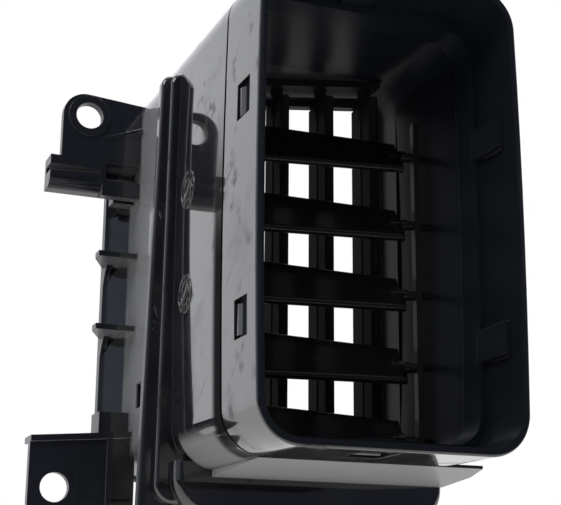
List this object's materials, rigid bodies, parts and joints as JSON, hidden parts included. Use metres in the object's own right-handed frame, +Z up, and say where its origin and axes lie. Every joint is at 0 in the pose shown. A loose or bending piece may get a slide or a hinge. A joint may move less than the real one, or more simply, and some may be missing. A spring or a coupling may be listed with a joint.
{
  "type": "dashboard air vent",
  "caption": "Tall rectangular dashboard air vent: push-fit outlet sleeve, duct body with linked tilting and upright vanes, rear housing with mounting ears.",
  "frame": {"origin": "centre of the outlet's rim plane, level with the middle of the rim", "axes": "+X to the right as seen from in front of the outlet, +Y back into the dashboard, +Z up; the upper ear's hole runs along Y"},
  "size_m": [0.0977, 0.1057, 0.1229],
  "materials": {
    "gloss_black_shell": "gloss moulded black, smudged and dusty",
    "satin_black_inner": "satin moulded black",
    "black_vane": "semi-gloss moulded black",
    "seal_foam": "soft black foam"
  },
  "bodies": {
    "housing": {"outlet_sleeve": "gloss_black_shell", "duct_body": "gloss_black_shell", "rear_housing": "gloss_black_shell", "vane_carrier_top": "satin_black_inner", "vane_carrier_bottom": "satin_black_inner", "inlet_seal": "seal_foam"},
    "tilting_vane_1": {"tilting_vane_1": "black_vane"},
    "tilting_vane_2": {"tilting_vane_2": "black_vane"},
    "tilting_vane_3": {"tilting_vane_3": "black_vane"},
    "tilting_vane_4": {"tilting_vane_4": "black_vane"},
    "tilting_vane_5": {"tilting_vane_5": "black_vane"},
    "tilting_vane_link": {"tilting_vane_link": "satin_black_inner"},
    "upright_vane_1": {"upright_vane_1": "black_vane"},
    "upright_vane_2": {"upright_vane_2": "black_vane"},
    "upright_vane_3": {"upright_vane_3": "black_vane"},
    "upright_vane_4": {"upright_vane_4": "black_vane"},
    "upright_vane_5": {"upright_vane_5": "black_vane"},
    "upright_vane_link": {"upright_vane_link": "satin_black_inner"}
  },
  "joints": [
    {"name": "tilting_vane_1_tilt", "type": "hinge", "parent": "housing", "child": "tilting_vane_1", "pos_m": [0, 0.0458, 0.0257], "axis": [-0.9877, 0.1564, 0], "range_deg": [0, 64]},
    {"name": "tilting_vane_2_tilt", "type": "hinge", "parent": "housing", "child": "tilting_vane_2", "pos_m": [0, 0.0458, 0.0076], "axis": [-0.9877, 0.1564, 0], "range_deg": [0, 64]},
    {"name": "tilting_vane_3_tilt", "type": "hinge", "parent": "housing", "child": "tilting_vane_3", "pos_m": [0, 0.0458, -0.0105], "axis": [-0.9877, 0.1564, 0], "range_deg": [0, 64]},
    {"name": "tilting_vane_4_tilt", "type": "hinge", "parent": "housing", "child": "tilting_vane_4", "pos_m": [0, 0.0458, -0.0286], "axis": [-0.9877, 0.1564, 0], "range_deg": [0, 64]},
    {"name": "tilting_vane_5_tilt", "type": "hinge", "parent": "housing", "child": "tilting_vane_5", "pos_m": [0, 0.0458, -0.0467], "axis": [-0.9877, 0.1564, 0], "range_deg": [0, 64]},
    {"name": "tilting_vane_link_pivot", "type": "hinge", "parent": "tilting_vane_3", "child": "tilting_vane_link", "pos_m": [0.02481, 0.03747, -0.01167], "axis": [-0.9877, 0.1564, 0], "range_deg": [-64, 0]},
    {"name": "upright_vane_1_swing", "type": "hinge", "parent": "housing", "child": "upright_vane_1", "pos_m": [-0.0226, 0.07821, 0], "axis": [0, 0, 1], "range_deg": [-30, 30]},
    {"name": "upright_vane_2_swing", "type": "hinge", "parent": "housing", "child": "upright_vane_2", "pos_m": [-0.0113, 0.0742, 0], "axis": [0, 0, 1], "range_deg": [-30, 30]},
    {"name": "upright_vane_3_swing", "type": "hinge", "parent": "housing", "child": "upright_vane_3", "pos_m": [0, 0.0702, 0], "axis": [0, 0, 1], "range_deg": [-30, 30]},
    {"name": "upright_vane_4_swing", "type": "hinge", "parent": "housing", "child": "upright_vane_4", "pos_m": [0.0113, 0.0662, 0], "axis": [0, 0, 1], "range_deg": [-30, 30]},
    {"name": "upright_vane_5_swing", "type": "hinge", "parent": "housing", "child": "upright_vane_5", "pos_m": [0.0226, 0.0622, 0], "axis": [0, 0, 1], "range_deg": [-30, 30]},
    {"name": "upright_vane_link_pivot", "type": "hinge", "parent": "upright_vane_3", "child": "upright_vane_link", "pos_m": [0, 0.0752, 0.049], "axis": [0, 0, 1], "range_deg": [-30, 30]}
  ],
  "couplings": [
    {"joint": "tilting_vane_1_tilt", "follows": "tilting_vane_3_tilt", "ratio": 1},
    {"joint": "tilting_vane_2_tilt", "follows": "tilting_vane_3_tilt", "ratio": 1},
    {"joint": "tilting_vane_4_tilt", "follows": "tilting_vane_3_tilt", "ratio": 1},
    {"joint": "tilting_vane_5_tilt", "follows": "tilting_vane_3_tilt", "ratio": 1},
    {"joint": "tilting_vane_link_pivot", "follows": "tilting_vane_3_tilt", "ratio": -1},
    {"joint": "upright_vane_1_swing", "follows": "upright_vane_3_swing", "ratio": 1},
    {"joint": "upright_vane_2_swing", "follows": "upright_vane_3_swing", "ratio": 1},
    {"joint": "upright_vane_4_swing", "follows": "upright_vane_3_swing", "ratio": 1},
    {"joint": "upright_vane_5_swing", "follows": "upright_vane_3_swing", "ratio": 1},
    {"joint": "upright_vane_link_pivot", "follows": "upright_vane_3_swing", "ratio": -1}
  ]
}
